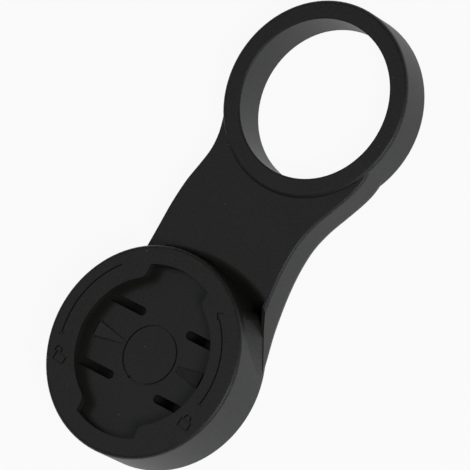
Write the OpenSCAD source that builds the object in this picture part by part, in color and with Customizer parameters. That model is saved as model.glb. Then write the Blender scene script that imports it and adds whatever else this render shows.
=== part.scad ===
// Mount for a quarter-turn device, moulded in one piece.
// The ring slips over a steerer tube and sits between its spacers.
// The round head carries the socket that the device turns into.
// Origin: the middle of the ring's bore. The modules below are drawn up from the underside.
// +Z points out of the socket's mouth, +X from the ring to the head.

// which piece to draw

/* [Ring] */
// outside diameter of the steerer tube that the ring slips over
steerer_d = 28.6; // [28:0.1:29.2]
// radial clearance between the tube and the bore
bore_clearance = 0.1; // [0.05:0.05:0.2]
// wall of the ring, from bore to outside
ring_wall = 3.4; // [3:0.1:3.8]
// height of the ring between the spacers
ring_h = 7.8; // [7.4:0.1:8.4]
// round on the two edges of the bore
bore_edge_r = 0.35; // [0.2:0.05:0.5]

/* [Head] */
// distance between the bore's axis and the head's axis
socket_distance = 53; // [52.5:0.25:54]
// outside diameter of the head
head_d = 38.2; // [37.8:0.1:39]
// height of the head
head_h = 10.5; // [10:0.1:11.5]
// round on the outer edges of ring and head
edge_r = 0.7; // [0.4:0.1:1]

/* [Arm] */
// step from the ring's top down to the arm's top
arm_step = 0.65; // [0.5:0.05:0.9]
// round on the arm's long top edges
arm_top_r = 0.5; // [0.3:0.1:0.8]
// round on the arm's long lower edges
arm_low_r = 1.7; // [1:0.1:2.6]

/* [Gap between arm and head] */
// height of the gap's floor
gap_floor = 1.5; // [1.2:0.1:3]
// radius of the arm's end, seen from above
gap_r = 28; // [27:0.5:29]
// lean of the arm's end, in degrees from upright
gap_lean = 30; // [24:2:36]
// round on the edge of the arm's end
gap_edge_r = 1.5; // [1:0.25:2]
// wall left standing along the arm's right edge
gap_web = 0.8; // [0.6:0.1:1.2]
// where the right edge starts to fall towards the head
dip_x = 35.2; // [34:0.2:37]
// slope of that fall, in degrees
dip_slope = 31; // [25:1:38]

/* [Socket] */
// depth of the socket's floor below the face
recess_depth = 3; // [2.8:0.1:3.2]
// thickness of the two lips that hold the tabs down
lip_t = 1.3; // [1.1:0.1:1.5]
// radius inside the lips
lip_r = 13.3; // [13.1:0.1:13.5]
// radius that the tabs turn in
tab_r = 15.6; // [15.4:0.1:15.8]
// width of the two notches that the tabs drop into
notch_w = 12.8; // [12.4:0.1:13.2]
// rounded corner between a notch and a lip
corner_r = 1.6; // [1:0.1:2]
// turn of the socket against the arm, in degrees
socket_turn = 6.5; // [0:0.5:12]

/* [Socket floor] */
// distance of the slots from the socket's middle
slot_x = 6.2; // [5.8:0.1:6.6]
// width of a slot
slot_w = 1.6; // [1.2:0.1:2]
// inner end of a slot, from the middle
slot_in = 4.6; // [4:0.1:5.2]
// outer end of a slot, from the middle
slot_out = 12.6; // [12:0.1:13]
// depth of a slot below the floor
slot_depth = 5; // [3:0.5:5.5]
// inner end of a ramp, from the middle
ramp_in = 6.2; // [5.8:0.1:6.6]
// outer end of a ramp, from the middle
ramp_out = 11.65; // [11:0.05:12]
// height of a ramp at its outer end
ramp_h = 0.65; // [0.4:0.05:1]
// width of a ramp at its outer end
ramp_w = 2.7; // [2.2:0.1:3.2]
// width of a ramp at its inner end
ramp_tip_w = 0.6; // [0.4:0.1:1]
// radius of the fine ring around the middle
disc_r = 5.25; // [4.8:0.05:5.5]
// place of the small dimple on that ring, in degrees in the turned socket
dimple_turn = -20; // [-45:5:0]
// radius of the small dimple on that ring
dimple_r = 0.3; // [0.2:0.05:0.4]

/* [Marks on the face] */
// width of the engraved lines
line_w = 0.28; // [0.2:0.02:0.34]
// depth of the engraved lines
line_depth = 0.3; // [0.2:0.05:0.4]
// radius of the arc that shows the turn to the closed padlock
lock_arc_r = 15.5; // [15.4:0.1:16.2]
// radius of the arc beside the open padlock
open_arc_r = 16.6; // [16:0.1:17]
// width of the padlock signs
lock_w = 2.2; // [1.8:0.1:2.6]
// height of a padlock's body
lock_h = 1.45; // [1.2:0.05:1.7]
// radius of a padlock's shackle
shackle_r = 0.65; // [0.5:0.05:0.8]

/* [Hidden] */
// where the long arc starts and where its arrow stands, in degrees from +X
lock_arc_from = 83;
lock_arc_to = 146;
// half length of the tick at each arc's other end
tick = 0.4;
// the arrow's two strokes: how far back they reach, and how far in and out
arrow_in = [0.3, 3.5];
arrow_out = [1, 2];
// where the other arc starts and ends
open_arc_from = 231;
open_arc_to = 289;
// places of the open and the closed padlock, and the open one's shackle shift
lock_closed = [5.45, 14.95];
lock_open = [8.4, -13.35];
lock_slip = -1;
// fineness of the turned faces
fine = 180;
// facets in a quarter of a turned edge's round
quarter = 6;
// facets in a quarter of the arm's rounds
arm_quarter = 4;
// overlap of a cut past the face it starts from
past = 0.5;

bore_r = steerer_d / 2 + bore_clearance;
ring_r = bore_r + ring_wall;
head_r = head_d / 2;
floor_z = head_h - recess_depth;
lip_z = head_h - lip_t;
arm_top = ring_h - arm_step;

// how deep the arm's ends reach into the walls of ring and head
buried = 1.7;
// the gap's left end and the place that its plan starts from
gap_left = -9.5;
// rounds of the search for a point of the arm's edge in a given direction
edge_rounds = 12;
gap_from = 30;
// where the arm's end stands, on a line beside the middle, and how far beside
gap_start = 33.3;
gap_side = 4;
gap_centre = [gap_start + gap_r, gap_side, 0];
// how far the gap's plan reaches short of the head's side
gap_short = 4;
// the head's foot in the gap's right end, in degrees about the head's axis from +X:
// where it starts, where it is widest, and where the arm's right edge has run into the head
foot_from = 153;
foot_wide = 139;
foot_to = 108;
// height of the foot's upper and lower ends, and its widest reach out from the head
foot_top = 9.6;
foot_low = 1.2;
foot_out = 1.5;
// how far the foot stays inside the arm's right edge, and how deep its ends are buried in the head
foot_in = 0.1;
foot_buried = 0.4;
// how far the foot's lean starts below the fall of the arm's edge
foot_under = 0.2;
// inner side of the fall beside the head, inside the gap, and how far the cut reaches
dip_side = 12;
dip_run = 12;

// the arm's two edges seen from above, from the ring to the head
left_edge = [
    [2, -15.2], [6, -15.3], [9, -15], [11.4, -14], [14.1, -13], [17.1, -12.55], [20.1, -12.8],
    [24.2, -13.35], [29, -13.4], [34.2, -13.05], [38.6, -12.8], [44, -12.75], [50, -12.75]
];
right_edge = [
    [2, 16.5], [5, 16.8], [7.5, 16.9], [10.1, 16.45], [14.1, 15.1], [18.1, 13.65], [22.1, 12.8],
    [26.2, 12.8], [30.2, 13.3], [34.2, 14.15], [38.3, 15.25], [42.3, 16.65], [45.5, 17.7],
    [48, 18.1], [51, 18.1]
];
// first and last place along the arm that a section is drawn at
arm_from = 5;
arm_to = 48;

// points of an arc about a centre
function arc(c, r, a0, a1, n) = [
    for (i = [0:n]) c + r * [cos(a0 + (a1 - a0) * i / n), sin(a0 + (a1 - a0) * i / n)]
];

function at_angle(r, a) = r * [cos(a), sin(a)];

// a smooth edge through the points of a list, read at x
function slope(p, i) = (p[i + 1][1] - p[i - 1][1]) / (p[i + 1][0] - p[i - 1][0]);
function edge_at(p, x) =
    let (
        i = max([for (k = [1:len(p) - 3]) if (k == 1 || x >= p[k][0]) k]),
        run = p[i + 1][0] - p[i][0],
        t = (x - p[i][0]) / run
    )
    p[i][1] * (1 + 2 * t) * (1 - t) * (1 - t) + p[i + 1][1] * t * t * (3 - 2 * t)
    + run * slope(p, i) * t * (1 - t) * (1 - t) - run * slope(p, i + 1) * t * t * (1 - t);

// the arm's section at x, anticlockwise seen from the head
function section(x) =
    let (l = edge_at(left_edge, x), r = edge_at(right_edge, x))
    concat(
        arc([l + arm_low_r, arm_low_r], arm_low_r, 180, 270, arm_quarter),
        arc([r - arm_low_r, arm_low_r], arm_low_r, 270, 360, arm_quarter),
        arc([r - arm_top_r, arm_top - arm_top_r], arm_top_r, 0, 90, arm_quarter),
        arc([l + arm_top_r, arm_top - arm_top_r], arm_top_r, 90, 180, arm_quarter)
    );

// faces of a solid through m sections of n points each
function loft_faces(n, m) = concat(
    [[for (i = [0:n - 1]) i]],
    [
        for (k = [0:m - 2]) for (i = [0:n - 1])
            let (j = (i + 1) % n, a = k * n, b = a + n)
            each [[a + i, b + i, b + j], [a + i, b + j, a + j]]
    ],
    [[for (i = [n - 1:-1:0]) (m - 1) * n + i]]
);

// a solid through the arm's sections
module arm_bar() {
    stations = [for (x = [arm_from:arm_to]) x];
    points = [for (x = stations) for (p = section(x)) [x, p[0], p[1]]];
    polyhedron(points = points, faces = loft_faces(len(section(arm_from)), len(stations)), convexity = 8);
}

// a turned ring or disc with rounded edges
module turned(r_in, r_out, h, r_in_edge, r_out_edge) {
    outside = concat(
        arc([r_out - r_out_edge, r_out_edge], r_out_edge, 270, 360, quarter),
        arc([r_out - r_out_edge, h - r_out_edge], r_out_edge, 0, 90, quarter)
    );
    inside = r_in > 0
        ? concat(
            arc([r_in + r_in_edge, h - r_in_edge], r_in_edge, 90, 180, quarter),
            arc([r_in + r_in_edge, r_in_edge], r_in_edge, 180, 270, quarter))
        : [[0, h], [0, 0]];
    rotate_extrude($fn = fine)
        polygon(concat(outside, inside));
}

// the gap's plan: short of both edges of the arm, open towards the head
module gap_cut() {
    right_web = [for (x = [arm_to - 2:-2:gap_from]) [x, edge_at(right_edge, x) - gap_web]];
    edge = arc([gap_r + gap_edge_r, arm_top - gap_edge_r], gap_edge_r, 180 - gap_lean, 90, quarter);
    low_r = edge[0][0] - (edge[0][1] - gap_floor + past) * tan(gap_lean);
    plan = concat([[gap_from, gap_left], [arm_to, gap_left], [arm_to, head_r - gap_short]], right_web);
    intersection() {
        translate([0, 0, gap_floor])
            linear_extrude(height = arm_top)
                polygon(plan);
        translate(gap_centre)
            rotate_extrude($fn = fine)
                polygon(concat(
                    [[0, gap_floor - past], [low_r, gap_floor - past]],
                    edge,
                    [[gap_r + gap_edge_r, arm_top + past], [0, arm_top + past]]
                ));
    }
}

// distance of the arm's right edge from the head's axis, in a direction seen from there
function edge_out(a, x = 0, k = 0) =
    let (near = x == 0 ? socket_distance + head_r * cos(a) : x)
    k == edge_rounds ? norm([near - socket_distance, edge_at(right_edge, near)])
    : edge_out(a, socket_distance + edge_at(right_edge, near) / tan(a), k + 1);

// height of the fall at x
function dip_z(x) = arm_top - max(0, x - dip_x) * tan(dip_slope);

// the foot's section in the plane through the head's axis at an angle: its outer corner, then the rest
function foot_reach(a) =
    a > foot_wide
        ? (foot_out + foot_buried) * pow(sin(90 * (foot_from - a) / (foot_from - foot_wide)), 2) - foot_buried
        : min(foot_out, edge_out(a) - foot_in - head_r);
function foot_section(a) =
    let (
        reach = max(-foot_buried, foot_reach(a)),
        x = socket_distance + (head_r + reach) * cos(a),
        rise = a > foot_wide ? (foot_from - a) / (foot_from - foot_wide) : 1,
        z = foot_low + past + rise * max(0, dip_z(x) - foot_under - foot_low - past)
    )
    [
        [head_r - buried, foot_low], [head_r + reach, foot_low], [head_r + reach, z],
        [head_r - foot_buried, foot_top], [head_r - buried, foot_top]
    ];

// leaning foot that joins the head's wall to the arm's right edge
module head_foot() {
    angles = [for (a = [foot_from:-1:foot_to]) a];
    points = [for (a = angles) for (p = foot_section(a)) [p[0] * cos(a), p[0] * sin(a), p[1]]];
    polyhedron(points = points, faces = loft_faces(len(foot_section(foot_to)), len(angles)), convexity = 8);
}

// the fall of the arm's right edge beside the head
module dip_cut() {
    fall = tan(dip_slope);
    translate([dip_x, dip_side + dip_run, arm_top])
        rotate([90, 0, 0])
            linear_extrude(height = dip_run)
                polygon([
                    [-past, past * fall], [dip_run, -dip_run * fall],
                    [dip_run, dip_run], [-past, dip_run]
                ]);
}

module arm() {
    difference() {
        arm_bar();
        translate([0, 0, -past])
            cylinder(r = ring_r - buried, h = ring_h + 2 * past, $fn = fine);
        translate([socket_distance, 0, -past])
            cylinder(r = head_r - buried, h = head_h + 2 * past, $fn = fine);
        gap_cut();
        dip_cut();
    }
}

// rounds the corner between a notch's side and a lip
module corner_cut() {
    cy = notch_w / 2 + corner_r;
    cx = sqrt(pow(lip_r + corner_r, 2) - cy * cy);
    touch = [cx, cy] * lip_r / (lip_r + corner_r);
    translate([0, 0, lip_z - past])
        difference() {
            linear_extrude(height = lip_t + 2 * past)
                polygon([[cx, notch_w / 2 - past], [cx, cy], touch, touch - [past, past]]);
            translate([cx, cy, -past])
                cylinder(r = corner_r, h = lip_t + 4 * past, $fn = fine / 3);
        }
}

// the space that the tabs turn in, and the mouth between the lips
module socket_cut() {
    translate([0, 0, floor_z])
        cylinder(r = tab_r, h = lip_z - floor_z, $fn = fine);
    translate([0, 0, floor_z])
        cylinder(r = lip_r, h = recess_depth + past, $fn = fine);
    intersection() {
        translate([0, 0, floor_z])
            cylinder(r = tab_r, h = recess_depth + past, $fn = fine);
        translate([-2 * tab_r, -notch_w / 2, floor_z - past])
            cube([4 * tab_r, notch_w, recess_depth + 3 * past]);
    }
    for (mx = [0, 1]) for (my = [0, 1])
        mirror([mx, 0, 0]) mirror([0, my, 0])
            corner_cut();
}

// four blind slots and the fine ring around the middle
module floor_cuts() {
    for (sx = [-1, 1]) for (sy = [0, 1])
        mirror([0, sy, 0])
            translate([sx * slot_x, 0, floor_z - slot_depth]) {
                translate([-slot_w / 2, slot_in + slot_w / 2, 0])
                    cube([slot_w, slot_out - slot_in - slot_w / 2, slot_depth + past]);
                translate([0, slot_in + slot_w / 2, 0])
                    cylinder(d = slot_w, h = slot_depth + past, $fn = fine / 3);
            }
    translate([0, 0, floor_z - line_depth])
        difference() {
            cylinder(r = disc_r + line_w / 2, h = line_depth + past, $fn = fine);
            translate([0, 0, -past])
                cylinder(r = disc_r - line_w / 2, h = line_depth + 3 * past, $fn = fine);
        }
    rotate([0, 0, dimple_turn])
        translate([disc_r, 0, floor_z - 2 * line_depth])
            cylinder(r = dimple_r, h = 2 * line_depth + past, $fn = fine / 3);
    for (a = [0, 180]) for (s = [-1, 1])
        rotate([0, 0, a])
            line_cut(
                [s * (ramp_tip_w + line_w) / 2, ramp_in],
                [s * (ramp_w + line_w) / 2, ramp_out],
                floor_z
            );
}

// wedge that the device's tab rides up on
module ramp() {
    half_tip = ramp_tip_w / 2;
    half_end = ramp_w / 2;
    low = floor_z - past;
    high = floor_z + ramp_h;
    polyhedron(
        points = [
            [-half_tip, ramp_in, low], [half_tip, ramp_in, low],
            [half_end, ramp_out, low], [-half_end, ramp_out, low],
            [-half_tip, ramp_in, floor_z], [half_tip, ramp_in, floor_z],
            [half_end, ramp_out, high], [-half_end, ramp_out, high]
        ],
        faces = [
            [0, 1, 2, 3], [7, 6, 5, 4], [0, 4, 5, 1], [1, 5, 6, 2], [2, 6, 7, 3], [3, 7, 4, 0]
        ]
    );
}

// one straight engraved line between two points of the face, or of the height given
module line_cut(a, b, top = head_h) {
    run = b - a;
    translate([a[0], a[1], top - line_depth])
        rotate([0, 0, atan2(run[1], run[0])])
            translate([-line_w / 2, -line_w / 2, 0])
                cube([norm(run) + line_w, line_w, line_depth + past]);
}

// an engraved arc on the face
module arc_cut(r, a0, a1) {
    rotate([0, 0, a0])
        translate([0, 0, head_h - line_depth])
            rotate_extrude(angle = a1 - a0, $fn = fine)
                translate([r - line_w / 2, 0])
                    square([line_w, line_depth + past]);
}

// a padlock: its body's near side at the given place, the shackle towards -X
module lock_cut(at, slip) {
    near = at[0];
    far = near + lock_h;
    side = lock_w / 2;
    line_cut([near, at[1] - side], [near, at[1] + side]);
    line_cut([far, at[1] - side], [far, at[1] + side]);
    line_cut([near, at[1] - side], [far, at[1] - side]);
    line_cut([near, at[1] + side], [far, at[1] + side]);
    for (s = [-1, 1])
        line_cut([near - shackle_r / 2, at[1] + slip + s * shackle_r], [near, at[1] + slip + s * shackle_r]);
    translate([near - shackle_r / 2, at[1] + slip, 0])
        arc_cut(shackle_r, 90, 270);
}

// the arcs that show the turn and the two padlock signs
module face_marks() {
    tip = at_angle(lock_arc_r, lock_arc_to);
    arc_cut(lock_arc_r, lock_arc_from, lock_arc_to);
    line_cut(tip, at_angle(lock_arc_r - arrow_in[0], lock_arc_to - arrow_in[1]));
    line_cut(tip, at_angle(lock_arc_r + arrow_out[0], lock_arc_to - arrow_out[1]));
    line_cut(at_angle(lock_arc_r - tick, lock_arc_from), at_angle(lock_arc_r + tick, lock_arc_from));
    arc_cut(open_arc_r, open_arc_from, open_arc_to);
    line_cut(at_angle(open_arc_r - tick, open_arc_to), at_angle(open_arc_r + tick, open_arc_to));
    lock_cut(lock_closed, 0);
    lock_cut(lock_open, lock_slip);
}

module head_fittings() {
    rotate([0, 0, socket_turn])
        for (a = [0, 180])
            rotate([0, 0, a])
                ramp();
}

module mount_body() {
    color("#2b2b2a")
        translate([0, 0, -ring_h / 2]) {
            difference() {
                union() {
                    turned(bore_r, ring_r, ring_h, bore_edge_r, edge_r);
                    arm();
                    translate([socket_distance, 0, 0]) {
                        turned(0, head_r, head_h, 0, edge_r);
                        head_foot();
                    }
                }
                translate([socket_distance, 0, 0]) {
                    rotate([0, 0, socket_turn]) {
                        socket_cut();
                        floor_cuts();
                    }
                    face_marks();
                }
            }
            translate([socket_distance, 0, 0])
                head_fittings();
        }
}

mount_body();
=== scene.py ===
import bpy
from math import radians, sin, cos
from mathutils import Matrix, Vector


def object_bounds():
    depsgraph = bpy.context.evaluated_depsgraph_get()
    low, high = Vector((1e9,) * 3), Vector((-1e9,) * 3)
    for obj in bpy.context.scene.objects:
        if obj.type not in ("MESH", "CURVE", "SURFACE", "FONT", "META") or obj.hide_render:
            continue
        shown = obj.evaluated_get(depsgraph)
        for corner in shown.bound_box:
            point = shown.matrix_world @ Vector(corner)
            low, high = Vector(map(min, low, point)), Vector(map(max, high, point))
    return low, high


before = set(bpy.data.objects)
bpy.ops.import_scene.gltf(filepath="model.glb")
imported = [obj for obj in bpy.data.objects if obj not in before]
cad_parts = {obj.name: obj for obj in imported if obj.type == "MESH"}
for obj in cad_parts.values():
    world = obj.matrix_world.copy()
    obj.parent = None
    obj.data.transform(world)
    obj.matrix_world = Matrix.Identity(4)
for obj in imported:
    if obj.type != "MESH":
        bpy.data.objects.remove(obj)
cadLow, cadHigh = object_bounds()
mm = 0.001

print("stage: materials")


def toLinear(hexText):
    # sRGB hex to the linear colour that a shader takes
    parts = [int(hexText[i:i + 2], 16) / 255 for i in (1, 3, 5)]
    linear = [c / 12.92 if c <= 0.04045 else ((c + 0.055) / 1.055) ** 2.4 for c in parts]
    return (*linear, 1.0)


def addNode(tree, kind, settings=None, values=None, links=None):
    # one node with its settings, its socket values and its incoming links
    node = tree.nodes.new(kind)
    for name, value in (settings or {}).items():
        setattr(node, name, value)
    for name, value in (values or {}).items():
        node.inputs[name].default_value = value
    for name, source in (links or {}).items():
        tree.links.new(source, node.inputs[name])
    return node


nylon = {
    "colour": "#20201b",         # base colour of the dyed plastic
    "paleColour": "#272722",     # where the flow of the melt left it a little paler
    "cloudSize": 7.0,            # mm, size of those paler clouds
    "cloudNoise": (3.0, 0.55),   # detail and roughness of their noise
    "grainSize": 0.4,            # mm, spark-eroded texture, drawn as coarse as it needs to show
    "grainNoise": (2.0, 0.6),
    "grainHeight": 0.022,        # mm
    "rippleSize": 2.2,           # mm, slow unevenness of the cooled skin
    "rippleDetail": 1.0,
    "rippleHeight": 0.012,       # mm
    "roughness": 0.5,
    "roughnessSpread": 0.06,     # either way, with the grain
    "sheen": 0.5,                # strength of the mirrored light, 0.5 is plain plastic
    "sheenSpread": 0.12,         # glass fibres near the skin make it speckled
    "sheenNoise": (0.3, 0.7),    # the part of the grain's noise that carries the speckle
    "sheenColour": "#f2f6ff",    # the skin's cool sheen, seen on the walls
    "ior": 1.5,
    "speckSpacing": 3.0,         # mm, between pale specks scattered at random through the grain
    "speckSize": 0.12,           # mm, radius of one
    "speckColour": "#5c5c56",
}


def mouldedNylon():
    # black glass-filled nylon from a spark-eroded mould: matte, with a fine grain that breaks up the sheen
    material = bpy.data.materials.new("mouldedNylon")
    material.use_nodes = True
    tree = material.node_tree
    tree.nodes.clear()
    place = addNode(tree, "ShaderNodeTexCoord").outputs["Object"]
    cloudDetail, cloudRoughness = nylon["cloudNoise"]
    clouds = addNode(tree, "ShaderNodeTexNoise", values={
        "Scale": 1 / (nylon["cloudSize"] * mm),
        "Detail": cloudDetail, "Roughness": cloudRoughness}, links={"Vector": place})
    grainDetail, grainRoughness = nylon["grainNoise"]
    grain = addNode(tree, "ShaderNodeTexNoise", values={
        "Scale": 1 / (nylon["grainSize"] * mm),
        "Detail": grainDetail, "Roughness": grainRoughness}, links={"Vector": place})
    ripple = addNode(tree, "ShaderNodeTexNoise", values={
        "Scale": 1 / (nylon["rippleSize"] * mm), "Detail": nylon["rippleDetail"]}, links={"Vector": place})
    colour = addNode(tree, "ShaderNodeMix", {"data_type": "RGBA"}, links={"Factor": clouds.outputs["Fac"]})
    colour.inputs["A"].default_value = toLinear(nylon["colour"])
    colour.inputs["B"].default_value = toLinear(nylon["paleColour"])
    # pale specks scattered at random through the grain, where the real part shows small dents
    speckCells = addNode(tree, "ShaderNodeTexVoronoi", values={
        "Scale": 1 / (nylon["speckSpacing"] * mm)}, links={"Vector": place})
    speck = addNode(tree, "ShaderNodeMath", {"operation": "LESS_THAN"})
    tree.links.new(speckCells.outputs["Distance"], speck.inputs[0])
    speck.inputs[1].default_value = nylon["speckSize"] / nylon["speckSpacing"]
    speckled = addNode(tree, "ShaderNodeMix", {"data_type": "RGBA"}, links={"Factor": speck.outputs[0]})
    tree.links.new(colour.outputs["Result"], speckled.inputs["A"])
    speckled.inputs["B"].default_value = toLinear(nylon["speckColour"])
    rough = addNode(tree, "ShaderNodeMapRange", values={
        "To Min": nylon["roughness"] - nylon["roughnessSpread"],
        "To Max": nylon["roughness"] + nylon["roughnessSpread"]}, links={"Value": grain.outputs["Fac"]})
    noiseLow, noiseHigh = nylon["sheenNoise"]
    sheen = addNode(tree, "ShaderNodeMapRange", values={
        "From Min": noiseLow, "From Max": noiseHigh,
        "To Min": nylon["sheen"] - nylon["sheenSpread"],
        "To Max": nylon["sheen"] + nylon["sheenSpread"]}, links={"Value": grain.outputs["Fac"]})
    slow = addNode(tree, "ShaderNodeBump", values={
        "Distance": nylon["rippleHeight"] * mm}, links={"Height": ripple.outputs["Fac"]})
    fineBump = addNode(tree, "ShaderNodeBump", values={
        "Distance": nylon["grainHeight"] * mm},
        links={"Height": grain.outputs["Fac"], "Normal": slow.outputs["Normal"]})
    shader = addNode(tree, "ShaderNodeBsdfPrincipled", values={
        "IOR": nylon["ior"], "Specular Tint": toLinear(nylon["sheenColour"])}, links={
        "Base Color": speckled.outputs["Result"], "Roughness": rough.outputs["Result"],
        "Specular IOR Level": sheen.outputs["Result"], "Normal": fineBump.outputs["Normal"]})
    addNode(tree, "ShaderNodeOutputMaterial", links={"Surface": shader.outputs["BSDF"]})
    return material


print("stage: mount body")
plastic = mouldedNylon()
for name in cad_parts:
    body = bpy.data.objects[name]
    for entry in body.material_slots:
        entry.material = plastic

print("stage: floor")
floorPlan = {
    "size": 40.0,          # m, so wide that its edge is out of sight
    "drop": 0.02,          # mm below the underside, so that the two faces don't share a plane
    "colour": "#f4f4f2",
    "whiteShare": 0.93,    # how far the floor turns to plain white, the rest keeps the shadow
}


def paintedFloor():
    # matt white studio sweep: plain diffuse, shown nearly white to the camera and to reflections
    material = bpy.data.materials.new("paintedFloor")
    material.use_nodes = True
    tree = material.node_tree
    tree.nodes.clear()
    rays = addNode(tree, "ShaderNodeLightPath").outputs
    seen = addNode(tree, "ShaderNodeMath", {"operation": "MAXIMUM"})
    tree.links.new(rays["Is Camera Ray"], seen.inputs[0])
    tree.links.new(rays["Is Glossy Ray"], seen.inputs[1])
    seenThrough = addNode(tree, "ShaderNodeMath", {"operation": "MAXIMUM"})
    tree.links.new(seen.outputs[0], seenThrough.inputs[0])
    tree.links.new(rays["Is Transmission Ray"], seenThrough.inputs[1])
    share = addNode(tree, "ShaderNodeMath", {"operation": "MULTIPLY"})
    tree.links.new(seenThrough.outputs[0], share.inputs[0])
    share.inputs[1].default_value = floorPlan["whiteShare"]
    matt = addNode(tree, "ShaderNodeBsdfDiffuse", values={"Color": toLinear(floorPlan["colour"])})
    white = addNode(tree, "ShaderNodeEmission", values={"Strength": 1.0})
    mixed = addNode(tree, "ShaderNodeMixShader", links={"Fac": share.outputs[0]})
    tree.links.new(matt.outputs[0], mixed.inputs[1])
    tree.links.new(white.outputs[0], mixed.inputs[2])
    addNode(tree, "ShaderNodeOutputMaterial", links={"Surface": mixed.outputs[0]})
    return material


bpy.ops.mesh.primitive_plane_add(size=floorPlan["size"], location=(0, 0, cadLow.z - floorPlan["drop"] * mm))
floor = bpy.context.object
floor.name = "studioFloor"
floor.data.materials.append(paintedFloor())

print("stage: lights")
# angles in degrees, distance and size in metres, power in watts
lamps = {
    "key": {"azimuth": 16.0, "elevation": 68.0, "distance": 0.9, "size": 0.4, "power": 0.55},
    "side": {"azimuth": 178.0, "elevation": 42.0, "distance": 0.9, "size": 0.3, "power": 3.2},
}
middle = (cadLow + cadHigh) / 2


def outward(azimuth, elevation):
    # azimuth 0 stands in front, on the -Y side, and 90 on the +X side
    a, e = radians(azimuth), radians(elevation)
    return Vector((sin(a) * cos(e), -cos(a) * cos(e), sin(e)))


for name, plan in lamps.items():
    light = bpy.data.lights.new(name, "AREA")
    light.shape = "DISK"
    light.size = plan["size"]
    light.energy = plan["power"]
    lamp = bpy.data.objects.new(name, light)
    back = outward(plan["azimuth"], plan["elevation"])
    lamp.location = middle + back * plan["distance"]
    lamp.rotation_euler = back.to_track_quat("Z", "Y").to_euler()
    bpy.context.scene.collection.objects.link(lamp)

roomLight = {"colour": "#ffffff", "strength": 0.09}     # weak, so that the shadows stay deep
room = bpy.data.worlds.new("room")
room.use_nodes = True
around = room.node_tree.nodes["Background"].inputs
around["Color"].default_value = toLinear(roomLight["colour"])
around["Strength"].default_value = roomLight["strength"]
bpy.context.scene.world = room

print("stage: camera")
view = {
    "azimuth": 184.406, "elevation": 59.686, "roll": -61.078,
    "target": (27.540, -0.729, 0.0),     # mm, where the middle of the picture meets the bore's mid plane
    "distance": 1024.2,                  # mm
    "lens": 450.07, "sensor": 36.0,      # mm
    "clip": (0.05, 100.0),               # m, nearest and farthest that is drawn
}
camera = bpy.data.objects.new("camera", bpy.data.cameras.new("camera"))
camera.data.lens = view["lens"]
camera.data.sensor_width = view["sensor"]
camera.data.clip_start, camera.data.clip_end = view["clip"]
back = outward(view["azimuth"], view["elevation"])
camera.location = Vector(view["target"]) * mm + back * view["distance"] * mm
turn = back.to_track_quat("Z", "Y").to_matrix()
camera.rotation_euler = (turn @ Matrix.Rotation(radians(view["roll"]), 3, "Z")).to_euler()
bpy.context.scene.collection.objects.link(camera)
bpy.context.scene.camera = camera

bpy.context.scene.view_settings.view_transform = "Standard"
